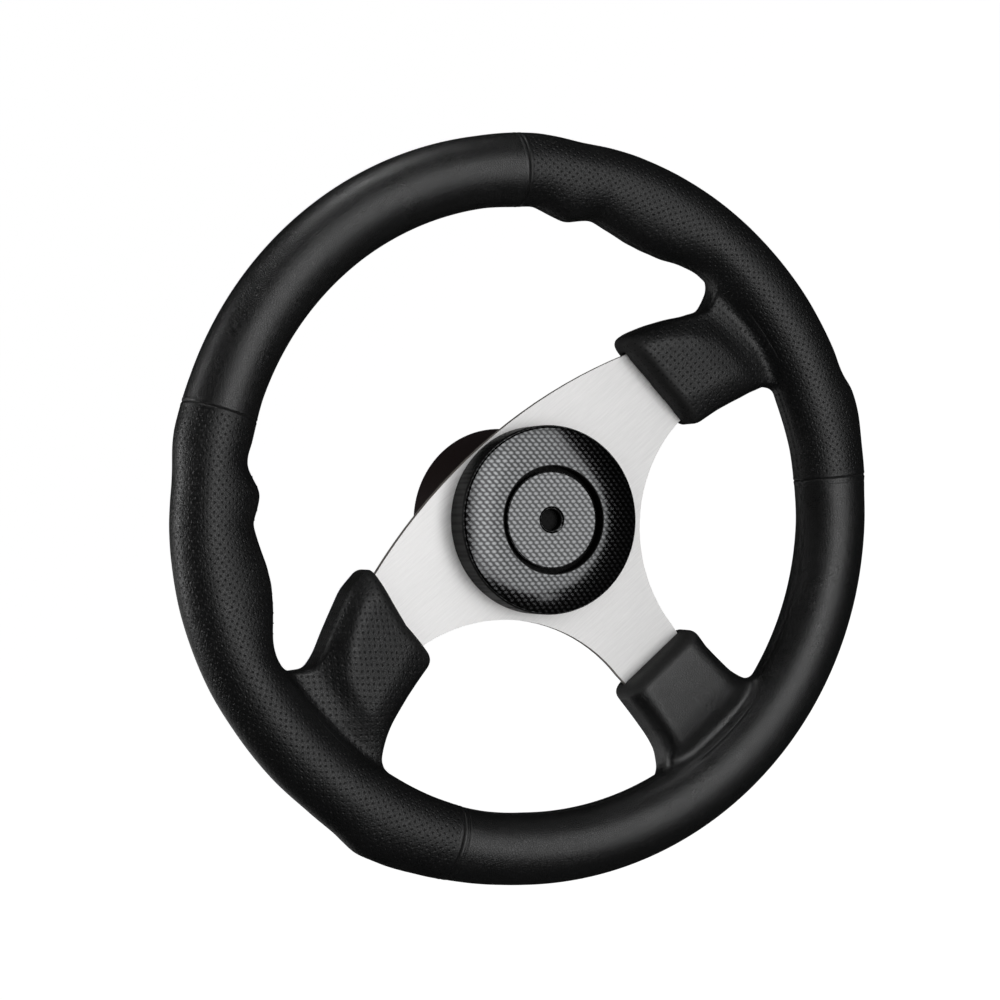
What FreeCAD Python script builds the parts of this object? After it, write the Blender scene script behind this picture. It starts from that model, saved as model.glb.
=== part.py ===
import FreeCAD, Part
import os
from math import asin, cos, degrees, radians, sin, sqrt

# Three-spoke boat steering wheel, in millimetres.
# The origin is on the shaft axis at the hub's back face. +Y runs along the shaft into the helm,
# -Y points at the person steering, and +Z is up with the wheel straight.
os.makedirs("parts", exist_ok=True)

# Rim: its centre stands above the shaft axis
rim_outer_r = 175.0
rim_section_r = 16.75
rim_lift = 6.95
rim_depth = 55.0
core_bar_r = 5.0
seam_groove_r = 0.6
weld_leg = 5.0
weld_arc_deg = 8.0

# Spoke plate
plate_t = 3.5
plate_top_z = 44.8
plate_top_arc_r = 271.6
cutout_x = 93.3
cutout_z = -83.3
cutout_right_r = 72.2
cutout_left_r = 77.2
tongue_length = 50.25
tongue_half_w = 13.0
tongue_past_bar = 4.0
plate_hole_r = 24.0

# Hub
hub_length = 45.5
hub_back_r = 44.7
hub_front_r = 43.4
hub_wall = 4.0
hub_web = 9.0
hub_edge = 1.5
boss_r = 24.0
rib_t = 4.0
rib_count = 6
pillar_r = 5.5
pillar_length = 16.0
shaft_mouth_r = 9.75
shaft_mouth_length = 4.0
shaft_taper_r = 9.525
taper_per_mm = 1.0 / 24.0
key_width = 4.76
key_depth = 2.4
nut_pocket_r = 20.0
nut_pocket_depth = 18.0

# Hub screws, countersunk
screw_circle_r = 32.0
screw_count = 6
screw_r = 2.5
screw_head_r = 4.7
screw_head_h = 2.7
screw_length = 19.0
screw_tip = 0.6
screw_socket_r = 1.75
screw_socket_depth = 1.8
thread_gap = 0.05
hole_gap = 0.3
tapped_hole_spare = 1.0

# Cap retainer and its ring seal
retainer_base_t = 3.2
retainer_inner_r = 24.0
retainer_wall_r = 41.0
retainer_wall_t = 3.2
retainer_height = 10.0
retainer_lead_in = 0.8
seal_r = 1.1
seal_from_plate = 6.4
seal_slack = 0.1

# Cap
cap_r = 44.1
cap_bore_gap = 0.4
cap_seat_gap = 0.2
cap_wall_h = 14.4
cap_edge_r = 2.2
cap_crown_h = 18.1
cap_crown_bulge = 0.9
cap_skin = 2.4
recess_r = 25.0
recess_depth = 7.1
disc_r = 22.45
disc_t = 4.75
disc_edge = 0.5
disc_hole_r = 4.95
disc_hole_chamfer = 1.4

# Places that follow from the sizes above
rim_line_r = rim_outer_r - rim_section_r
rim_y = -rim_depth
plate_back_y = -hub_length
plate_front_y = plate_back_y - plate_t
bar_y = plate_front_y - core_bar_r
cap_bore_r = retainer_wall_r + cap_bore_gap
cap_seat_y = plate_front_y - cap_seat_gap
cap_crown_y = cap_seat_y - cap_crown_h
recess_floor_y = cap_crown_y + recess_depth

# Sections round one side of the rim: where they stand, in degrees from the top, and their outer
# and inner half-widths. The inner side swells into a finger stop and a palm swell above the pad;
# the outer side has a shoulder below it.
seam_upper_deg = 36.5
seam_lower_deg = 126.0
seam_run_deg = 3.0
side_section_deg = [
    40.5, 43.5, 47.0, 50.0, 53.0, 57.0, 61.0, 65.0, 69.0, 73.0, 78.0, 86.0, 98.0, 106.0, 110.5, 115.0,
    120.0,
]
side_section_outer = [
    16.8, 16.4, 15.9, 16.0, 16.4, 17.0, 17.3, 17.6, 17.7, 17.9, 18.0, 17.9, 17.9, 18.1, 20.2, 19.8,
    18.0,
]
side_section_inner = [
    16.9, 19.4, 22.3, 21.0, 20.0, 21.8, 23.7, 23.9, 22.3, 19.4, 17.0, 16.8, 16.8, 17.0, 17.2, 17.1,
    16.9,
]

# Pads where the grips run onto the spokes. Each station is one section across the pad: how far it
# lies from the rim's middle line towards the hub, then the pad's high and low edge, the high and low
# end of its raised face, and how far that face and the back stand from the rim's mid-plane.
side_pad_stations = [
    (73.25, 38.2, -13.2, 30.5, -5.0, 7.4, 16.0),
    (64.25, 37.2, -15.6, 30.5, -7.5, 9.0, 17.0),
    (54.25, 33.4, -18.0, 26.0, -10.0, 9.2, 17.0),
    (44.25, 29.2, -20.6, 19.0, -12.5, 9.2, 17.0),
    (35.25, 24.8, -23.4, 9.5, -15.5, 8.6, 17.0),
    (27.25, 22.8, -27.4, -3.5, -18.5, 6.0, 16.0),
    (20.25, 27.2, -34.0, -2.0, -20.0, 4.5, 14.5),
    (8.25, 35.0, -44.0, 0.0, -25.0, 5.0, 12.8),
]
bottom_pad_x = 2.5
bottom_pad_stations = [
    (62.1, 21.4, 17.6, 7.4, 16.0),
    (55.3, 22.2, 18.8, 9.4, 17.0),
    (44.3, 23.0, 19.2, 9.6, 17.0),
    (33.3, 24.2, 19.6, 9.0, 16.6),
    (25.3, 26.6, 19.8, 6.0, 15.6),
    (18.8, 32.0, 20.5, 4.5, 14.4),
    (7.8, 43.0, 25.0, 5.0, 12.8),
]
pad_mouth_edge = 1.2
pad_side_ease = 0.6
pad_back_inset = 1.4

axis_y = FreeCAD.Vector(0, 1, 0)
origin = FreeCAD.Vector(0, 0, 0)
rim_centre = FreeCAD.Vector(0, rim_y, rim_lift)


def at(x, y, z):
    return FreeCAD.Vector(x, y, z)


def flat_face(points):
    return Part.Face(Part.makePolygon(points + points[:1]))


def turned(points):
    """Solid of revolution about the shaft axis from (radius, y) corners."""
    return flat_face([at(r, y, 0) for r, y in points]).revolve(origin, axis_y, 360)


def disc(radius, y_start, length, x=0.0, z=0.0):
    """Cylinder along +Y from y_start."""
    return Part.makeCylinder(radius, length, at(x, y_start, z), axis_y)


def around(count, radius):
    """(x, z) of each place on a circle about the shaft axis, the first at the top."""
    angles = [radians(90 + 360 * i / count) for i in range(count)]
    return [(radius * cos(a), radius * sin(a)) for a in angles]


def outward_at(deg):
    """Unit vector away from the rim's centre, deg clockwise from the top seen from the front."""
    return at(sin(radians(deg)), 0, cos(radians(deg)))


def along_at(deg):
    """Unit vector along the rim, clockwise."""
    return at(cos(radians(deg)), 0, -sin(radians(deg)))


def rim_section(deg, outer=rim_section_r, inner=rim_section_r):
    """Closed smooth section of the rim, with its own half-width outwards and inwards."""
    outward = outward_at(deg)
    centre = rim_centre + outward * rim_line_r
    points = []
    for i in range(8):
        t = radians(45 * i)
        reach = outer if cos(t) > 0 else inner
        points.append(centre + outward * (reach * cos(t)) + at(0, -rim_section_r * sin(t), 0))
    curve = Part.BSplineCurve()
    curve.interpolate(points, PeriodicFlag=True)
    return Part.Wire(curve.toShape())


def rim_sweep(face, start_deg, end_deg):
    """Turn a face that stands at start_deg about the rim's centre."""
    return face.revolve(rim_centre, axis_y, end_deg - start_deg)


def plain_arc(start_deg, end_deg):
    """Round stretch of the rim."""
    centre = rim_centre + outward_at(start_deg) * rim_line_r
    circle = Part.makeCircle(rim_section_r, centre, along_at(start_deg))
    return rim_sweep(Part.Face(Part.Wire(circle)), start_deg, end_deg)


def rim_sector(start_deg, end_deg):
    """Thick slice of space round the rim, used to trim a grip square at its seams."""
    half = 2 * rim_section_r
    centre = rim_centre + outward_at(start_deg) * rim_line_r
    sides = [(-half, -half), (half, -half), (half, half), (-half, half)]
    face = flat_face([centre + outward_at(start_deg) * r + at(0, y, 0) for r, y in sides])
    return rim_sweep(face, start_deg, end_deg)


def side_arc():
    """Right-hand stretch of the rim with its finger stop, palm swell and shoulder."""
    wires = [rim_section(seam_upper_deg - seam_run_deg * i) for i in (2, 1, 0)]
    sections = zip(side_section_deg, side_section_outer, side_section_inner)
    wires += [rim_section(deg, outer, inner) for deg, outer, inner in sections]
    wires += [rim_section(seam_lower_deg + seam_run_deg * i) for i in (0, 1, 2)]
    arc = Part.makeLoft(wires, True, False)
    return arc.common(rim_sector(seam_upper_deg, seam_lower_deg))


def smooth_pad(sections):
    """Pad lofted through closed curves, each drawn towards its poles; its mouth is rounded."""
    wires = []
    for poles in sections:
        curve = Part.BSplineCurve()
        curve.buildFromPoles(poles, True, 3)
        wires.append(Part.Wire(curve.toShape()))
    pad = Part.makeLoft(wires, True, False)
    middle = wires[0].BoundBox.Center
    closed = [e for e in pad.Edges if e.isClosed()]
    mouth = min(closed, key=lambda e: (e.BoundBox.Center - middle).Length)
    return pad.makeFillet(pad_mouth_edge, [mouth])


def side_pad():
    """Right-hand pad, from its mouth on the spoke to inside the rim."""
    sections = []
    for inward, high, low, face_high, face_low, front, back in side_pad_stations:
        slope = (high - face_high) / 2
        middle = (high + low) / 2
        outline = [
            (low, 0.5), (low + pad_side_ease, 0.85), (face_low, 1.0), ((face_high + face_low) / 2, 1.0),
            (face_high, 1.0), (high - slope, 0.75), (high, 0.3), (high, -0.35),
            (high - pad_back_inset, -0.95), (middle, -1.0), (low + pad_back_inset, -0.95), (low, -0.35),
        ]
        depth = [(z, share * (front if share > 0 else back)) for z, share in outline]
        sections.append([at(rim_line_r - inward, rim_y - h, z) for z, h in depth])
    return smooth_pad(sections)


def bottom_pad():
    """Bottom pad, alike on both sides of its own middle."""
    sections = []
    for inward, half, face_half, front, back in bottom_pad_stations:
        side = [
            (half - pad_back_inset, -0.95), (half, -0.35), (half, 0.3), (half - pad_side_ease, 0.85),
            (face_half, 1.0),
        ]
        outline = side + [(0.0, 1.0)] + [(-x, share) for x, share in reversed(side)] + [(0.0, -1.0)]
        depth = [(x, share * (front if share > 0 else back)) for x, share in outline]
        sections.append([at(bottom_pad_x + x, rim_y - h, rim_lift - rim_line_r + inward) for x, h in depth])
    return smooth_pad(sections)


def mirrored(shape):
    return shape.mirror(origin, at(1, 0, 0))


def seam_grooves():
    """One fine ring at each seam, cut into both grips that meet there."""
    rings = []
    for deg in (seam_upper_deg, seam_lower_deg, -seam_lower_deg, -seam_upper_deg):
        centre = rim_centre + outward_at(deg) * rim_line_r
        rings.append(Part.makeTorus(rim_section_r, seam_groove_r, centre, along_at(deg)))
    return rings


def rim_core():
    """Steel bar ring that lies on the front of the spoke tongues."""
    return Part.makeTorus(rim_line_r, core_bar_r, at(0, bar_y, rim_lift), axis_y)


def spoke_plate():
    """Flat three-arm plate: one convex top edge, two round cut-outs and a tongue in each pad."""
    tip = rim_line_r + tongue_past_bar
    shoulder_x = tip - tongue_length
    shoulder_z = plate_top_z - plate_top_arc_r + sqrt(plate_top_arc_r ** 2 - shoulder_x ** 2)

    def corner(x, z):
        return at(x, plate_back_y, z)

    def cutout(side, r):
        """Top quarter of a cut-out towards the middle of the plate."""
        half = r * sin(radians(45))
        high = corner(side * cutout_x, cutout_z + r)
        middle = corner(side * (cutout_x - half), cutout_z + half)
        near = corner(side * (cutout_x - r), cutout_z)
        return high, middle, near

    right = cutout(1, cutout_right_r)
    left = cutout(-1, cutout_left_r)
    top_r = corner(shoulder_x, shoulder_z)
    top_l = corner(-shoulder_x, shoulder_z)
    tip_r = [corner(tip, tongue_half_w), corner(tip, -tongue_half_w)]
    tip_l = [corner(-tip, -tongue_half_w), corner(-tip, tongue_half_w)]
    foot = [corner(bottom_pad_x + side * tongue_half_w, rim_lift - tip) for side in (1, -1)]
    edges = [Part.Arc(top_l, corner(0, plate_top_z), top_r).toShape()]
    edges += [Part.makeLine(a, b) for a, b in ((top_r, tip_r[0]), tip_r, (tip_r[1], right[0]))]
    edges.append(Part.Arc(*right).toShape())
    edges += [Part.makeLine(a, b) for a, b in ((right[2], foot[0]), foot, (foot[1], left[2]))]
    edges.append(Part.Arc(*reversed(left)).toShape())
    edges += [Part.makeLine(a, b) for a, b in ((left[0], tip_l[0]), tip_l, (tip_l[1], top_l))]
    plate = Part.Face(Part.Wire(edges)).extrude(at(0, -plate_t, 0))
    plate = plate.cut(disc(plate_hole_r, plate_front_y, plate_t))
    for x, z in around(screw_count, screw_circle_r):
        plate = plate.cut(disc(screw_r + hole_gap, plate_front_y, plate_t, x, z))
    return plate


def weld_pair(middle_deg, core):
    """Two fillet beads between the core bar and a spoke tongue, inside and outside the bar."""
    start = middle_deg - weld_arc_deg / 2
    lean = core_bar_r * sqrt(0.5)
    beads = []
    for side in (-1, 1):
        corners = [
            (0, plate_front_y), (side * weld_leg, plate_front_y), (side * lean, bar_y + lean), (0, bar_y),
        ]
        points = [rim_centre + outward_at(start) * (rim_line_r + r) + at(0, y - rim_y, 0) for r, y in corners]
        beads.append(rim_sweep(flat_face(points), start, start + weld_arc_deg).cut(core))
    return Part.makeCompound(beads)


def hub_ribs():
    """Ribs of the casting, from the boss through each screw pillar to the wall."""
    ribs = []
    length = hub_front_r - hub_wall / 2 - boss_r + rib_t
    for x, z in around(rib_count, 1.0):
        rib = Part.makeBox(length, hub_length - pillar_length, rib_t)
        rib.translate(at(boss_r - rib_t, -hub_length, -rib_t / 2))
        rib.Placement = FreeCAD.Placement(origin, FreeCAD.Rotation(at(1, 0, 0), at(x, 0, z))) * rib.Placement
        ribs.append(rib)
    return ribs


def shaft_seat():
    """Space for the shaft's tapered end, its key and the nut in front of it."""
    taper_start = -shaft_mouth_length
    taper_end = nut_pocket_depth - hub_length
    small_r = shaft_taper_r - (taper_start - taper_end) * taper_per_mm
    seat = turned([
        (0, 0), (shaft_mouth_r, 0), (shaft_mouth_r, taper_start), (shaft_taper_r, taper_start),
        (small_r, taper_end), (nut_pocket_r, taper_end), (nut_pocket_r, -hub_length),
        (0, -hub_length),
    ])
    key_size = (key_width, -taper_end, shaft_taper_r + key_depth)
    return seat.fuse(Part.makeBox(*key_size, at(-key_width / 2, taper_end, 0)))


def hub():
    """Cast hub: outer wall, front web, ribbed boss with the tapered seat, and a nut pocket."""
    wall_back_r = hub_back_r - hub_wall
    web_back_y = hub_web - hub_length
    body = turned([
        (0, -hub_length), (hub_front_r, -hub_length), (hub_back_r, -hub_edge),
        (hub_back_r - hub_edge, 0), (wall_back_r, 0), (hub_front_r - hub_wall, web_back_y),
        (boss_r, web_back_y), (boss_r, 0), (0, 0),
    ])
    body = body.multiFuse(hub_ribs())
    tapped_depth = screw_length - plate_t - retainer_base_t + tapped_hole_spare
    for x, z in around(screw_count, screw_circle_r):
        body = body.fuse(disc(pillar_r, -hub_length, pillar_length, x, z))
        body = body.cut(disc(screw_r + thread_gap, -hub_length, tapped_depth, x, z))
    return body.cut(shaft_seat())


def hub_screw(x, z):
    """Countersunk socket screw, head to the front."""
    head_y = plate_front_y - retainer_base_t
    tip_y = head_y + screw_length
    screw = turned([
        (0, head_y), (screw_head_r, head_y), (screw_r, head_y + screw_head_h),
        (screw_r, tip_y - screw_tip), (screw_r - screw_tip, tip_y), (0, tip_y),
    ])
    corners = [at(px, head_y, pz) for px, pz in around(6, screw_socket_r)]
    screw = screw.cut(flat_face(corners).extrude(at(0, screw_socket_depth, 0)))
    screw.translate(at(x, 0, z))
    return screw


def retainer():
    """Ring clamped under the screw heads, with a grooved wall that the cap pushes over."""
    base_y = plate_front_y - retainer_base_t
    top_y = plate_front_y - retainer_height
    inner_wall_r = retainer_wall_r - retainer_wall_t
    seal_y = plate_front_y - seal_from_plate
    groove_half = seal_r + seal_slack
    groove_r = cap_bore_r - 2 * seal_r - 2 * seal_slack
    ring = turned([
        (retainer_inner_r, plate_front_y), (retainer_wall_r, plate_front_y),
        (retainer_wall_r, seal_y + groove_half), (groove_r, seal_y + groove_half),
        (groove_r, seal_y - groove_half), (retainer_wall_r, seal_y - groove_half),
        (retainer_wall_r, top_y + retainer_lead_in), (retainer_wall_r - retainer_lead_in, top_y),
        (inner_wall_r, top_y), (inner_wall_r, base_y), (retainer_inner_r, base_y),
    ])
    for x, z in around(screw_count, screw_circle_r):
        hole = turned([
            (0, base_y), (screw_head_r, base_y), (screw_r, base_y + screw_head_h),
            (screw_r, plate_front_y), (0, plate_front_y),
        ])
        hole.translate(at(x, 0, z))
        ring = ring.cut(hole)
    return ring


def ring_seal():
    seal_y = plate_front_y - seal_from_plate
    return Part.makeTorus(cap_bore_r - seal_slack - seal_r, seal_r, at(0, seal_y, 0), axis_y)


def cap_shell():
    """Cap: straight wall, crowned face ring and a round recess that holds the centre disc."""
    edge_y = cap_seat_y - cap_wall_h
    crown_mid = at((cap_r + recess_r) / 2, (edge_y + cap_crown_y) / 2 - cap_crown_bulge, 0)
    corners = [(0, cap_seat_y), (cap_r, cap_seat_y), (cap_r, edge_y)]
    corners += [(recess_r, cap_crown_y), (recess_r, recess_floor_y), (0, recess_floor_y)]
    points = [at(r, y, 0) for r, y in corners]
    edges = [Part.makeLine(points[i], points[i + 1]) for i in (0, 1)]
    edges.append(Part.Arc(points[2], crown_mid, points[3]).toShape())
    edges += [Part.makeLine(points[i], points[(i + 1) % 6]) for i in (3, 4, 5)]
    solid = Part.Face(Part.Wire(edges)).revolve(origin, axis_y, 360)
    shoulder = at(cap_r, edge_y, 0)
    rims = [e for e in solid.Edges if e.distToShape(Part.Vertex(shoulder))[0] < 0.01 and e.isClosed()]
    solid = solid.makeFillet(cap_edge_r, rims)
    return solid.cut(turned([
        (0, cap_seat_y), (cap_bore_r, cap_seat_y), (cap_bore_r, edge_y + cap_skin),
        (recess_r + cap_skin, cap_crown_y + cap_skin + cap_crown_bulge),
        (recess_r + cap_skin, recess_floor_y + cap_skin), (0, recess_floor_y + cap_skin),
    ]))


def cap_disc():
    """Centre disc, set in the recess with a groove round it and an open hole in its middle."""
    face_y = recess_floor_y - disc_t
    return turned([
        (disc_hole_r, recess_floor_y), (disc_r, recess_floor_y), (disc_r, face_y + disc_edge),
        (disc_r - disc_edge, face_y), (disc_hole_r + disc_hole_chamfer, face_y),
        (disc_hole_r, face_y + disc_hole_chamfer / 2),
    ])


def main():
    core = rim_core()
    plate = spoke_plate()
    side_deg = 90 + degrees(asin(rim_lift / rim_line_r))
    bottom_deg = 180 - degrees(asin(bottom_pad_x / rim_line_r))
    inner = {
        "rim_core": core,
        "spoke_plate": plate,
        "weld_left": weld_pair(-side_deg, core),
        "weld_right": weld_pair(side_deg, core),
        "weld_bottom": weld_pair(bottom_deg, core),
    }
    side_grip = side_arc().fuse(side_pad())
    grips = {
        "grip_top": plain_arc(-seam_upper_deg, seam_upper_deg),
        "grip_right": side_grip,
        "grip_left": mirrored(side_grip),
        "grip_bottom": plain_arc(seam_lower_deg, 360 - seam_lower_deg).fuse(bottom_pad()),
    }
    nodes = dict(inner)
    for name, grip in grips.items():
        nodes[name] = grip.cut(list(inner.values()) + seam_grooves())
    nodes["hub_adapter"] = hub()
    nodes["cap_retainer"] = retainer()
    nodes["cap_seal"] = ring_seal()
    nodes["cap_shell"] = cap_shell()
    nodes["cap_disc"] = cap_disc()
    for i, (x, z) in enumerate(around(screw_count, screw_circle_r)):
        nodes["hub_screw_%d" % (i + 1)] = hub_screw(x, z)
    for name, shape in nodes.items():
        print(name, shape.isValid(), len(shape.Solids), round(shape.Volume))
        shape.exportStep("parts/%s.step" % name)


main()
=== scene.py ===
from math import cos, pi, radians, sin

import bmesh
import bpy
import numpy as np
from mathutils import Matrix, Vector


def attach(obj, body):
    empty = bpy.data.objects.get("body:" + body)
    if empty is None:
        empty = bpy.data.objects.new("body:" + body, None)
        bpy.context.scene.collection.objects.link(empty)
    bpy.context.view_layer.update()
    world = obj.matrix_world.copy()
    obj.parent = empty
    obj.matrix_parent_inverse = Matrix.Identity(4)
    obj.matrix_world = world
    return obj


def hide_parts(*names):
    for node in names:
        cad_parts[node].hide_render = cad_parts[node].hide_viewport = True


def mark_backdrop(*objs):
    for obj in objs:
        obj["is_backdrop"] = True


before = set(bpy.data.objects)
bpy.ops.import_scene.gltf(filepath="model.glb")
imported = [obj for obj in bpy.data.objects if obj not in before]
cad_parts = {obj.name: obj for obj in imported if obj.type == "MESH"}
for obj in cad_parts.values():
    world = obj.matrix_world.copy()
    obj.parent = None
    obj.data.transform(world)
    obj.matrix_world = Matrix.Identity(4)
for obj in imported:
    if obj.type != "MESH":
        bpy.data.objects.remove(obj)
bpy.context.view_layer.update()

# Lengths are millimetres in the part's own frame, up to the point where a mesh is made.
# "Front" is height towards the viewer over the rim's middle plane, and "out" is distance outwards
# from the rim's middle line.
MM = 0.001
RIM_LIFT = 6.95
RIM_DEPTH = 55.0
RIM_LINE_R = 158.25
RIM_SECTION_R = 16.75

# Cell of the grid that the moulded surfaces are found on
CELL = 0.9

# Settling points on a surface: steps, distance over which its slope is read, least squared slope,
# and longest move in a step
NEWTON_STEPS = 3
PROBE = 0.05
LEAST_SLOPE = 0.05
LONGEST_MOVE = 0.6

# Tables of the forms: distance between their places, and places that the easing spans to each side
RIM_STEP, RIM_EASE = 0.25, 6
PAD_STEP, PAD_EASE = 0.5, 9

# Half-widths of the rim, degrees from the top: outwards, inwards
SIDE_STATIONS = [
    (30.0, 16.75, 16.75), (36.5, 16.75, 16.75), (40.5, 16.8, 16.9), (43.5, 16.4, 19.4), (47.0, 15.9, 22.3),
    (50.0, 16.0, 21.0), (53.0, 16.4, 20.0), (57.0, 17.0, 21.8), (61.0, 17.3, 23.7),
    (65.0, 17.6, 23.9), (69.0, 17.7, 22.3), (73.0, 17.9, 19.4), (78.0, 18.0, 17.0),
    (86.0, 17.9, 16.8), (98.0, 17.9, 16.8), (106.0, 18.1, 17.0), (110.5, 20.2, 17.2),
    (115.0, 19.8, 17.1), (120.0, 18.0, 16.9), (126.0, 16.75, 16.75), (138.0, 16.75, 16.75),
]

# How each grip departs from that: degrees from the top, outwards, inwards
GRIP_OFFSETS = {
    1: [(30.0, 0.0, 0.0), (36.0, 0.5, 0.6), (40.0, 0.5, 0.1), (44.0, 0.2, 0.8), (48.0, -0.2, 0.4),
        (52.0, 0.2, -1.0), (56.0, 0.2, -0.3), (60.0, 0.1, -0.4), (66.0, 0.1, -0.6), (70.0, 0.2, -0.2),
        (74.0, 0.2, -0.9), (77.0, 0.2, -1.4), (82.0, 0.3, -1.0), (94.0, 0.6, 0.0), (104.0, 0.2, 0.2),
        (108.0, -1.1, 0.7), (110.5, 0.1, 0.6), (113.0, 0.5, 0.5), (118.0, 0.2, 0.3), (124.0, 0.6, 0.7),
        (128.0, 0.0, 0.4), (132.0, 0.1, 0.0), (138.0, 0.0, 0.0)],
    -1: [(30.0, 0.2, 0.2), (36.0, 0.6, 0.8), (38.5, 0.8, 0.6), (41.0, 0.3, -0.6), (42.5, -0.1, -1.6),
         (44.0, -0.5, -0.4), (46.0, -0.5, 1.3), (48.5, -0.1, 2.3), (50.5, 0.1, 2.0), (52.5, 0.2, 0.8),
         (58.0, -0.1, 1.2), (64.0, 0.0, 1.3), (68.0, 0.0, 0.8), (72.0, -0.1, -0.1), (75.5, -0.1, -1.9),
         (78.0, -0.1, -1.8), (84.0, -0.4, -0.5), (94.0, -0.2, 0.0), (100.0, -0.5, 0.0), (104.0, 0.0, 0.0),
         (107.0, 0.6, 0.6), (110.0, 1.3, 0.3), (114.0, 0.8, 0.0), (118.0, 1.1, -0.2), (122.0, 1.3, -0.3),
         (126.0, 1.2, -0.7), (130.0, 0.7, -0.7), (134.0, 0.2, -0.4), (138.0, 0.0, 0.0)],
}

# Side pad, distance from the shaft axis: high and low edge, high and low end of the raised face,
# and how far the raised face and the back stand from the rim's middle
SIDE_PAD = [
    (80.0, 38.6, -12.4, 30.5, -5.0, 6.4, 16.0), (94.0, 37.2, -15.6, 30.5, -7.5, 8.3, 17.0),
    (104.0, 33.4, -18.0, 26.0, -10.0, 9.0, 17.0), (114.0, 29.2, -20.6, 19.0, -12.5, 9.5, 17.0),
    (123.0, 24.8, -23.4, 9.5, -15.5, 8.8, 17.0), (131.0, 22.8, -27.4, -3.5, -18.5, 6.0, 16.0),
    (138.0, 27.2, -34.0, -2.0, -20.0, 4.5, 14.5), (150.0, 35.0, -44.0, 0.0, -25.0, 5.0, 12.8),
]

# Rise of the raised face towards its high end
FACE_TILT = 0.06

# How each side pad departs from that: distance, high edge, low edge
PAD_OFFSETS = {
    1: [(80.0, 0.6, -2.9), (94.0, 0.5, -1.3), (104.0, 1.0, -0.3), (118.0, 0.8, 0.0), (127.0, 0.0, 0.9),
        (131.0, -1.3, 2.0), (138.0, -2.6, 3.2), (150.0, -3.0, 3.5)],
    -1: [(80.0, 1.5, -0.4), (94.0, 0.6, 0.0), (104.0, -0.2, 0.0), (118.0, -0.9, -0.6), (127.0, -0.9, -2.2),
         (131.0, -0.6, -3.4), (138.0, 0.0, -4.0), (150.0, 0.0, -4.0)],
}

# Where each side pad's mouth lies: height, distance from the shaft axis
SIDE_MOUTHS = {
    1: [(-13.0, 88.0), (38.0, 85.3)],
    -1: [(-13.0, 82.8), (8.0, 83.9), (20.0, 82.3), (38.0, 79.2)],
}
SIDE_END = 151.0
SIDE_PAD_Z = 13.0

# Bottom pad, distance below the shaft axis: half-width, half-width of the raised face, and how far
# the raised face and the back stand from the rim's middle
BOTTOM_X = 2.5
BOTTOM_PAD = [
    (85.0, 21.2, 17.4, 6.8, 16.0), (96.0, 22.2, 18.6, 8.6, 17.0), (107.0, 23.0, 19.4, 9.2, 17.0),
    (118.0, 24.2, 20.4, 9.3, 16.6), (125.5, 26.6, 21.0, 8.6, 15.6), (132.5, 32.0, 21.5, 5.4, 14.4),
    (143.5, 43.0, 25.0, 5.0, 12.8),
]

# How the bottom pad's right and left half-widths depart from that
BOTTOM_OFFSETS = {
    1: [(85.0, 2.6), (92.0, 1.8), (100.0, 0.8), (118.0, 1.3), (128.0, 1.9), (136.0, 1.0), (143.5, 0.0)],
    -1: [(85.0, 1.4), (92.0, 1.3), (100.0, 0.7), (118.0, -0.3), (128.0, -1.2), (136.0, -2.0),
         (143.5, -2.0)],
}
BOTTOM_MOUTH = 88.2
BOTTOM_END = 144.5

# Roundings of the pads' edges, their faces' edges and their mouths, and of the join with the rim
PAD_EDGE = 5.0
PAD_FACE_EDGE = 4.0
MOUTH_EDGE = 6.0
JOIN = 5.0

# Where a pad's wall ends and its bevel starts, as a share of its face's height, and the bevel's
# least width
WALL_TOP = 0.3
LEAST_BEVEL = 0.5

# Painted shade on the edge of a pad's mouth, where the leather is made darker and duller: how far
# in it is fully dark, and how far to each side it goes
MOUTH_DARK = 2.0
MOUTH_REACH = 40.0

# Slot in each mouth, round the spoke plate: its middle and half its height in front, its depth, its
# low and high end in the side pads, and half its width in the bottom pad
SLOT_FRONT = -7.75
SLOT_HALF = 2.1
SLOT_DEPTH = 4.0
SIDE_SLOTS = {1: (-12.4, 32.0), -1: (-7.4, 32.0)}
BOTTOM_SLOT_HALF = 18.6

# Crease where a pad's leather meets the rim's, with its span along z or x, how dark the shade
# painted in it is, the band of finer faces round it, the lip beside it, and the short wrinkles across it
CREASE_R = 144.4
CREASE_SPAN = {"side": (-17.0, 11.0), "bottom": (-13.0, 23.0)}
CREASE_FADE = 3.0
CREASE_FRONT = 2.0
CREASE_DEPTH = 0.22
CREASE_WIDTH = 0.35
CREASE_PAINTED_SHADE = 0.8
FINE_BAND = (-3.2, 2.5)
LIP_R = 142.6
LIP_HEIGHT = 0.12
LIP_WIDTH = 0.8
WRINKLE_R = CREASE_R + 2
WRINKLE_WIDTH = 1.5
WRINKLE_PITCH = 2.6
WRINKLE_WANDER = 0.8
WRINKLE_WANDERS = 97
WRINKLE_HEIGHT = {"side": 0.07, "bottom": 0.015}

# Seams: degrees from the top, the side that the plain leather is on, and how far a second fold
# lies from the seam and how deep it is
SEAMS = {
    "upper_left": (-34.3, 1, 2.0, 0.03),
    "upper_right": (36.9, -1, 2.0, 0.03),
    "lower_right": (124.4, 1, 3.0, 0.1),
    "lower_left": (-124.2, -1, 3.0, 0.15),
}

# A seam's groove, its fold, the swell of the leather on both sides, the seam's dark line, and
# the shade painted along the fold
SEAM_DEPTH = 0.34
SEAM_WIDTH = 0.32
FOLD_WIDTH = 0.3
SWELL_HEIGHT = 0.1
SWELL_APART = 1.1
SWELL_WIDTH = 0.6
SEAM_LINE_WIDTH = 0.3
FOLD_LINE_WIDTH = 0.25
FOLD_PAINTED_SHADE = 3

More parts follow.
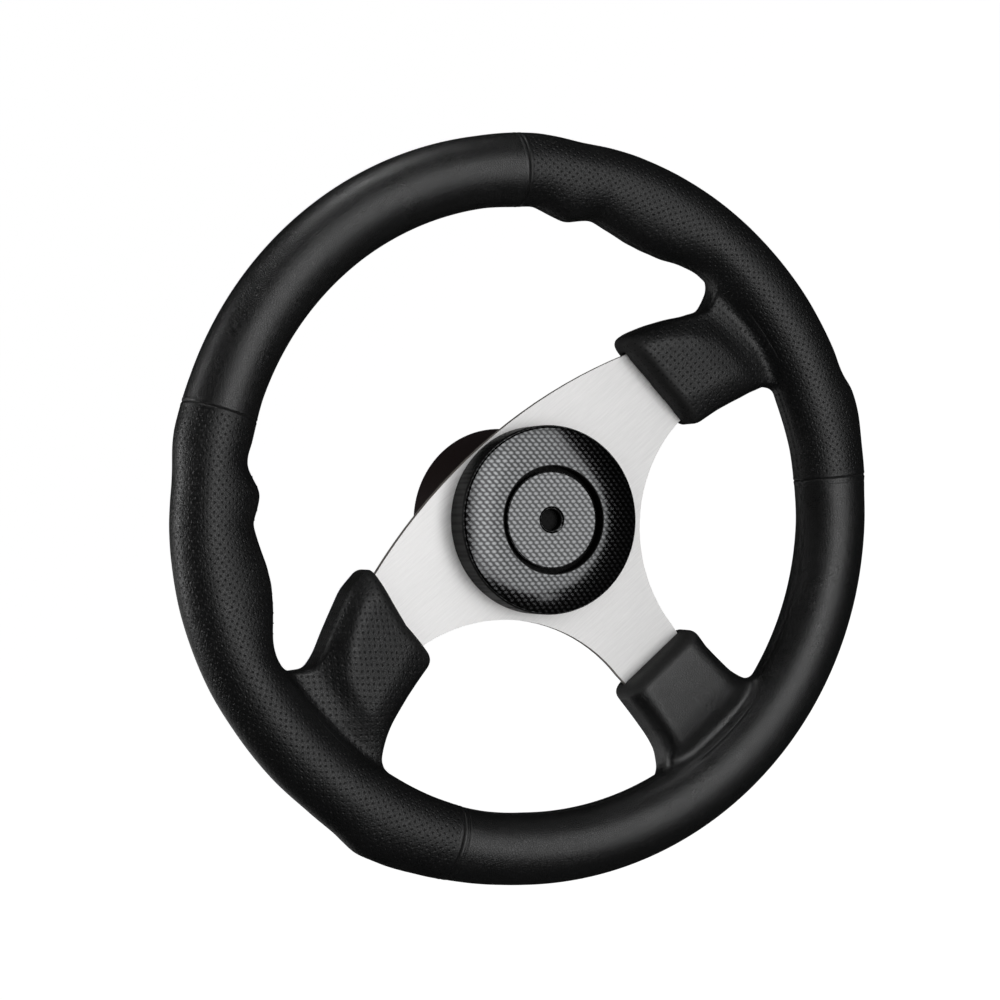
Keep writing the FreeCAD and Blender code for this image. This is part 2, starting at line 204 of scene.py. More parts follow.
# A seam's cut: distances of the finer loops beside it, how far along and across the rim they reach,
# how near a point is to be on the cut, and the distance at which the cutter joins points, in metres
SEAM_LOOPS = (0.15, 0.3, 0.5, 0.8, 1.2, 1.6, 1.85, 2.0, 2.15, 2.4, 2.7, 2.88, 3.0, 3.12, 3.3, 3.7)
LOOPS_ALONG = 5
LOOPS_ACROSS = 30
ON_CUT = 0.02
CUT_JOIN = 1e-7

# Inner stitches: how far in front they run, their pitch, their radius, how far they sink, half their
# length as a share of the pitch, how far they slant, and how far they stay from a pad
STITCH_FRONT = 2.0
STITCH_PITCH = 4.4
STITCH_R = 0.26
STITCH_SINK = 0.05
STITCH_SHARE = 0.4
STITCH_SLANT = 0.35
STITCH_TO_PAD = 2

# The channel the stitches lie in, which starts between two distances inwards from the rim's middle line
CHANNEL_DEPTH = 0.3
CHANNEL_WIDTH = 0.8
CHANNEL_START = (8, 12)

# Punched holes: their pitch in a square lattice, which lies at 45 degrees to the rim's run and is
# a little closer round the rim's section; the distances from a seam between which they start; the
# radii between which a hole darkens and its dish sinks; the dish's depth; how far holes stray; and
# the waves per millimetre, sideways and up, of the two rows on each side pad
PUNCH_PITCH = 2.85
PUNCH_CLOSER = 1.12
PUNCH_START = (1.6, 2.6)
HOLE_EDGE = (0.56, 0.2)
HOLE_DISH = (0.8, 0.25)
HOLE_DEPTH = 0.16
HOLE_WANDER = 1.2
RIGHT_PAD_WAVES = ((0.319, 0.059), (-0.046, 0.358))
LEFT_PAD_WAVES = ((0.322, -0.208), (0.232, 0.256))

# Weave of the cap: its turn, the distance between its rows and between the dots in a row, and half
# the length and width of a dot
WEAVE_TURN = -39.3
WEAVE_ROW = 1.89
WEAVE_DOT = 3.15
DOT_HALF_LENGTH = 1.35
DOT_HALF_WIDTH = 0.95


def stepped(stations, column, at):
    """Value of one column at a place between the stations."""
    return np.interp(at, [s[0] for s in stations], [s[column] for s in stations])


def smooth_table(stations, column, step, ease, offsets=None):
    """Places and values of one column, evenly spaced and eased between the stations."""
    at = np.arange(stations[0][0], stations[-1][0] + step, step)
    value = stepped(stations, column, at)
    if offsets:
        value = value + stepped(offsets, column, at)
    kernel = np.hanning(2 * ease + 3)[1:-1]
    padded = np.pad(value, ease, mode="edge")
    return at, np.convolve(padded, kernel / kernel.sum(), mode="valid")


def both_sides(column):
    """The rim's half-width all round, from the left grip's lower end over the top."""
    left, right = [
        smooth_table(SIDE_STATIONS, column, RIM_STEP, RIM_EASE, GRIP_OFFSETS[side]) for side in (-1, 1)
    ]
    return np.concatenate([-left[0][::-1], right[0]]), np.concatenate([left[1][::-1], right[1]])


RIM_OUTER = both_sides(1)
RIM_INNER = both_sides(2)
SIDE_PROFILE = {
    side: [
        smooth_table(SIDE_PAD, i, PAD_STEP, PAD_EASE, offsets if i < len(offsets[0]) else None)
        for i in range(1, len(SIDE_PAD[0]))
    ]
    for side, offsets in PAD_OFFSETS.items()
}
BOTTOM_PROFILE = [smooth_table(BOTTOM_PAD, i, PAD_STEP, PAD_EASE) for i in range(1, len(BOTTOM_PAD[0]))]


def smooth_max(a, b, k):
    return np.maximum(a, b) + np.maximum(k - np.abs(a - b), 0) ** 2 / (4 * k)


def smooth_min(a, b, k):
    return -smooth_max(-a, -b, k)


def hump(distance, width):
    return np.exp(-(distance / width) ** 2)


def fade(value, start, end):
    """0 at start and 1 at end, eased."""
    t = np.clip((value - start) / (end - start), 0, 1)
    return t * t * (3 - 2 * t)


def rim_places(p):
    """Angle from the top, distance outwards from the rim's middle line, and front."""
    up = p[..., 2] - RIM_LIFT
    angle = np.arctan2(p[..., 0], up)
    out = np.hypot(p[..., 0], up) - RIM_LINE_R
    return angle, out, -RIM_DEPTH - p[..., 1]


def from_seam(angle, deg):
    """Distance along the rim from a seam, clockwise."""
    turn = angle - radians(deg)
    return (turn - 2 * pi * np.round(turn / (2 * pi))) * RIM_LINE_R


def seam_gap(angle):
    """Distance along the rim to the nearest seam."""
    return np.min([np.abs(from_seam(angle, seam[0])) for seam in SEAMS.values()], axis=0)


def seam_relief(angle):
    """How deep the leather sinks at the seams, and at the fold beside each."""
    depth = 0.0
    for deg, plain, fold, fold_depth in SEAMS.values():
        gap = from_seam(angle, deg)
        swell = SWELL_HEIGHT * hump(np.abs(gap) - SWELL_APART, SWELL_WIDTH)
        depth = depth + SEAM_DEPTH * hump(gap, SEAM_WIDTH) - swell
        depth = depth + fold_depth * hump(gap * plain - fold, FOLD_WIDTH)
    return depth


def seam_lines(angle):
    """1 in the dark lines of the seams, and in the shade painted along their folds, darker as a fold is
    deeper.
    """
    line = 0.0
    for deg, plain, fold, fold_depth in SEAMS.values():
        gap = from_seam(angle, deg)
        painted_fold_shade = FOLD_PAINTED_SHADE * fold_depth * hump(gap * plain - fold, FOLD_LINE_WIDTH)
        line = np.maximum(line, np.maximum(hump(gap, SEAM_LINE_WIDTH), painted_fold_shade))
    return line


def rim_field(p):
    """Distance outside the rim, with its seams and the channel of its inner stitches."""
    angle, out, front = rim_places(p)
    deg = np.degrees(angle)
    reach = np.where(out > 0, np.interp(deg, *RIM_OUTER), np.interp(deg, *RIM_INNER))
    a = np.hypot(out / reach, front / RIM_SECTION_R)
    b = np.hypot(out / reach ** 2, front / RIM_SECTION_R ** 2)
    channel = CHANNEL_DEPTH * hump(front - STITCH_FRONT, CHANNEL_WIDTH) * fade(-out, *CHANNEL_START)
    return a * (a - 1) / np.maximum(b, 1e-6) + seam_relief(angle) + channel


def slope(across, edge, face_edge, front, top):
    """Distance outside the bevel from the wall's top edge to the edge of the raised face."""
    start = WALL_TOP * top
    rise, run = top - start, np.maximum(edge - face_edge, LEAST_BEVEL)
    return ((across - edge) * rise + (front - start) * run) / np.hypot(rise, run)


def with_slot(body, front, into_mouth, beside):
    """The pad's body with the plate's slot cut into its mouth.

    beside is the distance past the slot's end.
    """
    slot = np.maximum(np.abs(front - SLOT_FRONT) - SLOT_HALF, into_mouth - SLOT_DEPTH)
    return np.maximum(body, -np.maximum(slot, beside))


def side_pad_field(p):
    _, _, front = rim_places(p)
    reach = np.abs(p[..., 0])
    z = p[..., 2]
    on_right = p[..., 0] > 0
    high, low, face_high, face_low, top, back = [
        np.where(on_right, np.interp(reach, *right), np.interp(reach, *left))
        for right, left in zip(SIDE_PROFILE[1], SIDE_PROFILE[-1])
    ]
    mouth = np.where(on_right, stepped(SIDE_MOUTHS[1], 1, z), stepped(SIDE_MOUTHS[-1], 1, z))
    top = top + FACE_TILT * (np.clip(z, face_low, face_high) - (face_high + face_low) / 2)
    walls = smooth_max(z - high, low - z, PAD_EDGE)
    face = smooth_max(slope(z, high, face_high, front, top), slope(-z, -low, -face_low, front, top),
                      PAD_FACE_EDGE)
    face = smooth_max(face, front - top, PAD_FACE_EDGE)
    body = smooth_max(smooth_max(walls, face, PAD_EDGE / 2), -front - back, PAD_EDGE)
    body = np.maximum(smooth_max(body, mouth - reach, MOUTH_EDGE), reach - SIDE_END)
    slot_low, slot_high = [np.where(on_right, *ends) for ends in zip(SIDE_SLOTS[1], SIDE_SLOTS[-1])]
    return with_slot(body, front, reach - mouth, np.maximum(slot_low - z, z - slot_high))


def bottom_pad_field(p):
    _, _, front = rim_places(p)
    drop = -p[..., 2]
    side = np.abs(p[..., 0] - BOTTOM_X)
    half, face_half, top, back = [np.interp(drop, *column) for column in BOTTOM_PROFILE]
    half = half + np.where(p[..., 0] > BOTTOM_X, stepped(BOTTOM_OFFSETS[1], 1, drop),
                           stepped(BOTTOM_OFFSETS[-1], 1, drop))
    face = smooth_max(slope(side, half, face_half, front, top), front - top, PAD_FACE_EDGE)
    body = smooth_max(smooth_max(side - half, face, PAD_EDGE / 2), -front - back, PAD_EDGE)
    body = np.maximum(smooth_max(body, BOTTOM_MOUTH - drop, MOUTH_EDGE), drop - BOTTOM_END)
    return with_slot(body, front, drop - BOTTOM_MOUTH, side - BOTTOM_SLOT_HALF)


def mouth_shade(p, kind):
    """1 on the edge of a pad's mouth, where shade is painted: darker colour and a duller surface."""
    if kind == "bottom":
        into, beside = -p[..., 2] - BOTTOM_MOUTH, np.abs(p[..., 0] - BOTTOM_X)
    else:
        side = SIDE_MOUTHS[1 if p[0, 0] > 0 else -1]
        into, beside = np.abs(p[..., 0]) - stepped(side, 1, p[..., 2]), np.abs(p[..., 2] - SIDE_PAD_Z)
    return fade(-into, -MOUTH_EDGE, -MOUTH_DARK) * (beside < MOUTH_REACH)


def crease_window(p, kind):
    """1 where the crease between pad and rim runs, on the front."""
    _, _, front = rim_places(p)
    along = p[..., 2] if kind == "side" else p[..., 0]
    start, end = CREASE_SPAN[kind]
    return (fade(along, start - CREASE_FADE, start + CREASE_FADE)
            * fade(-along, -end - CREASE_FADE, -end + CREASE_FADE)
            * fade(front, -CREASE_FRONT, CREASE_FRONT))


def crease(p, kind):
    """How far the leather sinks at the crease and rises beside it, with short wrinkles across."""
    angle, out, _ = rim_places(p)
    r = out + RIM_LINE_R
    wander = WRINKLE_WANDER * np.sin(angle * WRINKLE_WANDERS)
    ripple = np.sin(angle * RIM_LINE_R * 2 * pi / WRINKLE_PITCH + wander)
    wrinkle = WRINKLE_HEIGHT[kind] * ripple * hump(r - WRINKLE_R, WRINKLE_WIDTH)
    sink = CREASE_DEPTH * hump(r - CREASE_R, CREASE_WIDTH) - LIP_HEIGHT * hump(r - LIP_R, LIP_WIDTH)
    return crease_window(p, kind) * (sink + wrinkle)


def side_field(p):
    return smooth_min(rim_field(p), side_pad_field(p), JOIN) + crease(p, "side")


def bottom_field(p):
    return smooth_min(rim_field(p), bottom_pad_field(p), JOIN) + crease(p, "bottom")


def surface_net(field, low, high, cell):
    """Points and four-sided faces of field = 0, one point in each cell that it crosses."""
    axes = [np.arange(low[i], high[i] + cell, cell) for i in range(3)]
    grid = np.stack(np.meshgrid(*axes, indexing="ij"), -1)
    value = np.concatenate([field(slab)[None] for slab in grid])
    inside = value < 0
    corners = [(i, j, k) for i in (0, 1) for j in (0, 1) for k in (0, 1)]
    size = np.array(value.shape) - 1

    def window(array, c):
        return array[c[0]:c[0] + size[0], c[1]:c[1] + size[1], c[2]:c[2] + size[2]]

    filled = sum(window(inside, c).astype(np.int8) for c in corners)
    active = np.argwhere((filled > 0) & (filled < 8))
    number = -np.ones(size, dtype=np.int64)
    number[tuple(active.T)] = np.arange(len(active))
    total = np.zeros((len(active), 3))
    count = np.zeros(len(active))
    for a in corners:
        for axis in range(3):
            if a[axis]:
                continue
            b = np.array(a)
            b[axis] = 1
            va = value[tuple((active + a).T)]
            vb = value[tuple((active + b).T)]
            hit = (va < 0) != (vb < 0)
            share = np.where(hit, va / np.where(hit, va - vb, 1), 0)
            total += hit[:, None] * (np.array(a) + share[:, None] * (b - a))
            count += hit
    points = (active + total / count[:, None]) * cell + np.array(low)
    faces = []
    for axis in range(3):
        u, v = (axis + 1) % 3, (axis + 2) % 3
        step = np.eye(3, dtype=int)
        near = inside[tuple(slice(0, n - step[axis][i]) for i, n in enumerate(inside.shape))]
        far = inside[tuple(slice(step[axis][i], None) for i in range(3))]
        edge = np.argwhere(near != far)
        edge = edge[(edge[:, u] > 0) & (edge[:, v] > 0)]
        edge = edge[np.all(edge < np.array(value.shape) - 1, axis=1)]
        ring = [edge - step[u] - step[v], edge - step[v], edge, edge - step[u]]
        quad = np.stack([number[tuple(c.T)] for c in ring], 1)
        outward = near[tuple(edge.T)]
        faces.append(quad[outward])
        faces.append(quad[~outward][:, ::-1])
    return points, np.concatenate(faces)


def settle(field, points):
    """Moves points along the field's slope onto its zero surface."""
    offsets = np.eye(3) * PROBE
    for _ in range(NEWTON_STEPS):
        slope_of = np.stack([field(points + d) - field(points - d) for d in offsets], -1) / (2 * PROBE)
        length2 = np.maximum((slope_of ** 2).sum(-1), LEAST_SLOPE)
        move = -(field(points) / length2)[:, None] * slope_of
        points = points + np.clip(move, -LONGEST_MOVE, LONGEST_MOVE)
    return points


def vertex_places(mesh):
    """Places of a mesh's points, in millimetres."""
    flat = np.empty(len(mesh.vertices) * 3)
    mesh.vertices.foreach_get("co", flat)
    return flat.reshape(-1, 3) / MM


def rim_direction(deg):
    """Outwards from the rim's centre, and along the rim, at an angle from the top."""
    t = radians(deg)
    return np.array((sin(t), 0, cos(t))), np.array((cos(t), 0, -sin(t)))


def trim(bm, deg, keep):
    """Cuts the grip off square at a seam, with finer loops beside it; keep is the side that stays."""
    centre = Vector((0, -RIM_DEPTH, RIM_LIFT)) * MM
    outward, along = (Vector(v) for v in rim_direction(deg))
    normal = along * -keep
    geometry = bm.verts[:] + bm.edges[:] + bm.faces[:]
    cut = bmesh.ops.bisect_plane(bm, geom=geometry, dist=CUT_JOIN, plane_co=centre, plane_no=normal,
                                 clear_outer=True)
    rim = [e for e in cut["geom_cut"] if isinstance(e, bmesh.types.BMEdge)]
    middle = centre + outward * RIM_LINE_R * MM
    band = []
    for face in bm.faces:
        apart = face.calc_center_median() - middle
        if abs(apart.dot(along)) < LOOPS_ALONG * MM and apart.length < LOOPS_ACROSS * MM:
            band.append(face)
    for edge in rim:
        edge.smooth = False
    edges = [e for f in band for e in f.edges]
    parts = list(dict.fromkeys(band + edges + [v for f in band for v in f.verts]))
    for distance in SEAM_LOOPS:
        spot = centre - normal * distance * MM
        cut = bmesh.ops.bisect_plane(bm, geom=parts, dist=CUT_JOIN, plane_co=spot, plane_no=normal)
        parts = cut["geom"]
    bmesh.ops.edgeloop_fill(bm, edges=rim)


def refine(bm, kind):
    """Finer faces along the crease."""
    start, end = CREASE_SPAN[kind]
    for _ in range(2):
        chosen = {}
        for face in bm.faces:
            c = face.calc_center_median() / MM
            r = np.hypot(c.x, c.z - RIM_LIFT)
            along = c.z if kind == "side" else c.x
            in_band = FINE_BAND[0] < r - CREASE_R < FINE_BAND[1]
            if in_band and start - CREASE_FADE < along < end + CREASE_FADE and c.y < -RIM_DEPTH:
                chosen.update(dict.fromkeys(face.edges))
        bmesh.ops.subdivide_edges(bm, edges=list(chosen), cuts=1, use_grid_fill=True)


def punch_map(mesh, places, waves):
    """UV in millimetres for the punched holes: along and round the rim, flat on the pads."""
    loops = len(mesh.loops)
    corner = np.empty(loops, dtype=np.int32)
    mesh.loops.foreach_get("vertex_index", corner)
    starts = np.empty(len(mesh.polygons), dtype=np.int32)
    totals = np.empty(len(mesh.polygons), dtype=np.int32)
    mesh.polygons.foreach_get("loop_start", starts)
    mesh.polygons.foreach_get("loop_total", totals)
    face_of = np.repeat(np.arange(len(starts)), totals)
    middle = np.add.reduceat(places[corner], starts) / totals[:, None]
    normals = np.empty(len(mesh.polygons) * 3)
    mesh.polygons.foreach_get("normal", normals)
    normals = np.abs(normals.reshape(-1, 3))[face_of]
    at, centre = places[corner], middle[face_of]
    angle, out, front = rim_places(at)
    face_angle, face_out, face_front = rim_places(centre)
    turn = np.arctan2(front, out)
    face_turn = np.arctan2(face_front, face_out)
    turn += 2 * pi * np.round((face_turn - turn) / (2 * pi))
    angle += 2 * pi * np.round((face_angle - angle) / (2 * pi))
    rim_u, rim_v = angle * RIM_LINE_R, turn * RIM_SECTION_R * PUNCH_CLOSER
    diagonal = np.stack([(rim_u + rim_v), (rim_u - rim_v)], -1) * np.sqrt(0.5)
    flat = PUNCH_PITCH * at[:, [0, 2]] @ np.array(waves).T
    steepest = normals.argmax(1)[:, None]
    flat = np.where(steepest == 0, at[:, [2, 1]], np.where(steepest == 2, at[:, [0, 1]], flat))
    on_rim = (face_out + RIM_LINE_R > CREASE_R)[:, None]
    layer = mesh.uv_layers.new(name="punch")
    layer.data.foreach_set("uv", np.where(on_rim, diagonal, flat).ravel())


def float_attribute(mesh, name, values):
    made = mesh.attributes.new(name, "FLOAT", "POINT")
    made.data.foreach_set("value", np.asarray(values, dtype=np.float32))


def shown(name, mesh):
    """A mesh as an object of the scene."""
    made = bpy.data.objects.new(name, mesh)
    bpy.context.scene.collection.objects.link(made)
    return made


def grip(name, field, low, high, cuts, kind=None, waves=None):
    """One leather cover.

    cuts are its seams as (degrees, side that stays), kind is that of its pad, if it has one, and
    waves are the rows of its pad's holes.
    """
    points, faces = surface_net(field, low, high, CELL)
    points = settle(field, points)
    mesh = bpy.data.meshes.new(name)
    mesh.from_pydata((points * MM).tolist(), [], faces.tolist())
    bm = bmesh.new()
    bm.from_mesh(mesh)
    if kind:
        refine(bm, kind)
    for deg, keep in cuts:
        trim(bm, deg, keep)
    for face in bm.faces:
        face.smooth = True
    bm.to_mesh(mesh)
    bm.free()
    places = vertex_places(mesh)
    settled = settle(field, places)
    angle, out, _ = rim_places(settled)
    moved = settled - places
    for deg, _ in cuts:
        along = rim_direction(deg)[1]
        here = np.abs(from_seam(rim_places(places)[0], deg)) < ON_CUT
        settled[here] -= (moved[here] @ along)[:, None] * along
    mesh.vertices.foreach_set("co", (settled * MM).ravel())
    mesh.update()
    lines = seam_lines(angle)
    if kind:
        # Painted shade along the crease: the leather's colour is darkened in its groove
        at_crease = hump(out + RIM_LINE_R - CREASE_R, CREASE_WIDTH) * crease_window(settled, kind)
        at_crease *= CREASE_PAINTED_SHADE
        lines = np.maximum(lines, np.maximum(at_crease, mouth_shade(settled, kind)))
    # fold holds the seams' dark lines, and painted shade in the folds, the crease and the mouth
    float_attribute(mesh, "fold", lines)
    if waves:
        punch_map(mesh, settled, waves)
        float_attribute(mesh, "punched", fade(seam_gap(angle), *PUNCH_START) * (1 - at_crease))
    return shown(name, mesh)


def stitching(name):
    """Thread along the rim's inner side, one short slanted stitch after another."""
    bm = bmesh.new()
    count = int(2 * pi * (RIM_LINE_R - RIM_SECTION_R) / STITCH_PITCH)
    for i in range(count):
        deg = 360.0 * i / count - 180
        outward, along = rim_direction(deg)
        reach = RIM_SECTION_R
        if SIDE_STATIONS[0][0] < abs(deg) < SIDE_STATIONS[-1][0]:
            reach = np.interp(deg, *RIM_INNER)
        out = -reach * np.sqrt(1 - (STITCH_FRONT / RIM_SECTION_R) ** 2)
        middle = np.array((0, -RIM_DEPTH - STITCH_FRONT, RIM_LIFT)) + outward * (RIM_LINE_R + out)
        middle = settle(rim_field, middle[None])[0] + outward * STITCH_SINK
        if min(side_pad_field(middle), bottom_pad_field(middle)) < STITCH_TO_PAD:
            continue
        run = along + STITCH_SLANT * np.array((0, 1, 0))
        spin = Vector(run).to_track_quat("Z", "Y").to_matrix().to_4x4()
        made = bmesh.ops.create_uvsphere(bm, u_segments=8, v_segments=6, radius=1.0)
        stretch = Matrix.Diagonal((STITCH_R * MM, STITCH_R * MM, STITCH_SHARE * STITCH_PITCH * MM, 1))
        place = Matrix.Translation(Vector(middle * MM)) @ spin @ stretch
        bmesh.ops.transform(bm, matrix=place, verts=made["verts"])
    for face in bm.faces:
        face.smooth = True
    mesh = bpy.data.meshes.new(name)
    bm.to_mesh(mesh)
    bm.free()
    return shown(name, mesh)


# Materials

def put(tree, socket, value):
    """Sets a socket, or links it to another."""
    if isinstance(value, bpy.types.NodeSocket):
        tree.links.new(value, socket)
    else:
        socket.default_value = value


def add_node(tree, kind, _props=None, **inputs):
    """Node with its inputs set or linked; input names have _ for a space, or are numbers as n0, n1."""
    node = tree.nodes.new(kind)
    for key, value in (_props or {}).items():
        setattr(node, key, value)
    for key, value in inputs.items():
        numbered = key[0] == "n" and key[1:].isdigit()
        put(tree, node.inputs[int(key[1:]) if numbered else key.replace("_", " ")], value)
    return node


def maths(tree, operation, a, b=0.0, c=0.0, clamp=False):
    settings = {"operation": operation, "use_clamp": clamp}
    return add_node(tree, "ShaderNodeMath", settings, n0=a, n1=b, n2=c).outputs[0]


def product(tree, a, b):
    return maths(tree, "MULTIPLY", a, b)


def length(tree, a, b):
    squares = maths(tree, "ADD", product(tree, a, a), product(tree, b, b))
    return maths(tree, "SQRT", squares)


def spread(tree, value, low, high, to_low=0.0, to_high=1.0, smooth=False):
    kind = "SMOOTHSTEP" if smooth else "LINEAR"
    return add_node(tree, "ShaderNodeMapRange", {"interpolation_type": kind}, Value=value, From_Min=low,
                    From_Max=high, To_Min=to_low, To_Max=to_high).outputs[0]


def mixed(tree, share, a, b):
    """Colour a, with a share of colour b."""
    return add_node(tree, "ShaderNodeMix", {"data_type": "RGBA"}, n0=share, n6=a, n7=b).outputs[2]


def grey(value, warm=0.0):
    """A grey; warm is how much redder it is, as a share."""
    return (value * (1 + warm), value, value * (1 - warm), 1)


def object_mm(tree, scale=(1, 1, 1)):
    """Object coordinates in millimetres, stretched by scale."""
    place = tree.nodes.new("ShaderNodeTexCoord").outputs["Object"]
    return add_node(tree, "ShaderNodeVectorMath", {"operation": "MULTIPLY"}, n0=place,
                    n1=tuple(s / MM for s in scale)).outputs[0]


def noise(tree, vector, scale, detail=2.0, roughness=0.5):
    return add_node(tree, "ShaderNodeTexNoise", Vector=vector, Scale=scale, Detail=detail,
                    Roughness=roughness).outputs["Fac"]


def material(name):
    made = bpy.data.materials.new(name)
    made.use_nodes = True
    tree = made.node_tree
    return made, tree, tree.nodes["Principled BSDF"]


def link(tree, shader, **sockets):
    """Sets or links a shader's inputs; their names have _ for a space."""
    for key, value in sockets.items():
        put(tree, shader.inputs[key.replace("_", " ")], value)


def attribute(tree, name):
    return add_node(tree, "ShaderNodeAttribute", {"attribute_name": name}).outputs["Fac"]


def depth_normal(tree):
    """-1 where the surface faces the front, 1 where it faces the back."""
    normal = tree.nodes.new("ShaderNodeTexCoord").outputs["Normal"]
    return add_node(tree, "ShaderNodeSeparateXYZ", Vector=normal).outputs[1]


def bump(tree, height, depth_mm, strength, under=None):
    """Normal of a relief, over that of a coarser one."""
    node = add_node(tree, "ShaderNodeBump", Strength=strength, Distance=depth_mm * MM, Height=height)
    if under is not None:
        tree.links.new(under, node.inputs["Normal"])
    return node.outputs[0]


def lattice_distance(tree, u, v, pitch_u, pitch_v):
    """Distances in millimetres, along u and v, to the middle of the cell of a lattice."""
    parts = []
    for value, pitch in ((u, pitch_u), (v, pitch_v)):
        cell = maths(tree, "FRACT", maths(tree, "DIVIDE", value, pitch))
        parts.append(product(tree, maths(tree, "SUBTRACT", cell, 0.5), pitch))
    return parts


def leather(name, roughness, gloss, punched=False):
    """Near-black leather with a pebbled grain; where the fold attribute is set it is darker and duller, for
    the seams' dark lines and for painted shade in the folds, the creases and the mouths.
    """
    made, tree, shader = material(name)
    place = object_mm(tree)
    cells = add_node(tree, "ShaderNodeTexVoronoi", {"feature": "DISTANCE_TO_EDGE"}, Vector=place, Scale=1.0)
    pebble = spread(tree, cells.outputs[0], 0.0, 0.16, smooth=True)
    fine = noise(tree, place, 3.5, 3.0)
    broad = noise(tree, place, 0.05, 2.0)
    fold = attribute(tree, "fold")
    colour = mixed(tree, broad, grey(0.0042, -0.05), grey(0.0062, -0.05))
    colour = mixed(tree, spread(tree, pebble, 0, 1, 0.5, 1), grey(0.004), colour)
    # The fold attribute darkens the colour: the seams' dark lines, and painted shade in folds, creases and
    # mouths
    colour = mixed(tree, product(tree, fold, 0.9), colour, grey(0.0008))
    rough = spread(tree, maths(tree, "ADD", fine, broad), 0.6, 1.4, roughness - 0.05, roughness + 0.05)
    rough = maths(tree, "ADD", rough, product(tree, fold, 0.5), clamp=True)
    normal = bump(tree, fine, 0.07, 0.8)
    normal = bump(tree, pebble, 0.065, 0.8, normal)
    if punched:
        uv = add_node(tree, "ShaderNodeUVMap", {"uv_map": "punch"}).outputs[0]
        wander = add_node(tree, "ShaderNodeTexNoise", Vector=place, Scale=0.12, Detail=1.0)
        shifted = add_node(tree, "ShaderNodeVectorMath", {"operation": "MULTIPLY_ADD"},
                           n0=wander.outputs["Color"], n1=(HOLE_WANDER, HOLE_WANDER, 0), n2=uv).outputs[0]
        apart = add_node(tree, "ShaderNodeSeparateXYZ", Vector=shifted)
        du, dv = lattice_distance(tree, apart.outputs[0], apart.outputs[1], PUNCH_PITCH, PUNCH_PITCH)
        away, here = length(tree, du, dv), attribute(tree, "punched")
        hole = product(tree, spread(tree, away, *HOLE_EDGE, smooth=True), here)
        colour = mixed(tree, hole, colour, grey(0.001))
        dish = product(tree, spread(tree, away, *HOLE_DISH, smooth=True), here)
        normal = bump(tree, maths(tree, "SUBTRACT", 1.0, dish), HOLE_DEPTH, 0.9, normal)
        rough = maths(tree, "ADD", rough, product(tree, hole, 0.35), clamp=True)
    link(tree, shader, Base_Color=colour, Roughness=rough, Normal=normal, Specular_IOR_Level=gloss)
    return made


def brushed_metal(name, value, across, tone):
    """Metal brushed along the direction that across gives the least scale, with painted shade darkening its
    edges, which face neither front nor back.
    """
    made, tree, shader = material(name)
    lines = noise(tree, object_mm(tree, across), 1.0, 5.0, 0.7)
    broad = noise(tree, object_mm(tree), 0.03, 2.0)
    shade = maths(tree, "ADD", product(tree, lines, 0.8), product(tree, broad, 0.2))
    colour = mixed(tree, spread(tree, shade, 0.3, 0.7), grey(value * 0.82, tone), grey(value, tone))
    # Painted shade: the colour darkens where the surface faces neither front nor back, on the plate's edges
    edge = spread(tree, maths(tree, "ABSOLUTE", depth_normal(tree)), 0.9, 0.6, smooth=True)
    colour = mixed(tree, edge, colour, grey(value * 0.3, 0.08))
    rough = spread(tree, lines, 0.3, 0.7, 0.3, 0.44)
    link(tree, shader, Base_Color=colour, Roughness=rough, Metallic=0.5,
         Normal=bump(tree, lines, 0.02, 0.7))
    return made


def cast_metal(name, value, red, roughness):
    """Dark sand-cast metal; red is how much its red exceeds its value."""
    made, tree, shader = material(name)
    place = object_mm(tree)
    sand = noise(tree, place, 1.6, 4.0, 0.6)
    broad = noise(tree, place, 0.06, 2.0)
    colour = mixed(tree, broad, (value * red, value * 0.8, value * 0.75, 1),
                   (value * red * 1.3, value, value, 1))
    rough = spread(tree, sand, 0.3, 0.7, roughness - 0.06, roughness + 0.08)
    link(tree, shader, Base_Color=colour, Roughness=rough, Metallic=0.3,
         Normal=bump(tree, sand, 0.06, 0.5))
    return made


def plain_metal(name, value, roughness):
    made, tree, shader = material(name)
    marks = noise(tree, object_mm(tree, (1, 3, 1)), 1.5, 3.0)
    colour = mixed(tree, marks, grey(value * 0.85), grey(value))
    rough = spread(tree, marks, 0.3, 0.7, roughness - 0.05, roughness + 0.08)
    link(tree, shader, Base_Color=colour, Roughness=rough, Metallic=1.0,
         Normal=bump(tree, marks, 0.01, 0.4))
    return made


def moulded(name, value, roughness):
    made, tree, shader = material(name)
    place = object_mm(tree)
    sparks = noise(tree, place, 2.5, 3.0)
    colour = mixed(tree, noise(tree, place, 0.1), grey(value * 0.85), grey(value * 1.1))
    rough = spread(tree, sparks, 0.3, 0.7, roughness - 0.05, roughness + 0.08)
    link(tree, shader, Base_Color=colour, Roughness=rough, Normal=bump(tree, sparks, 0.02, 0.5))
    return made


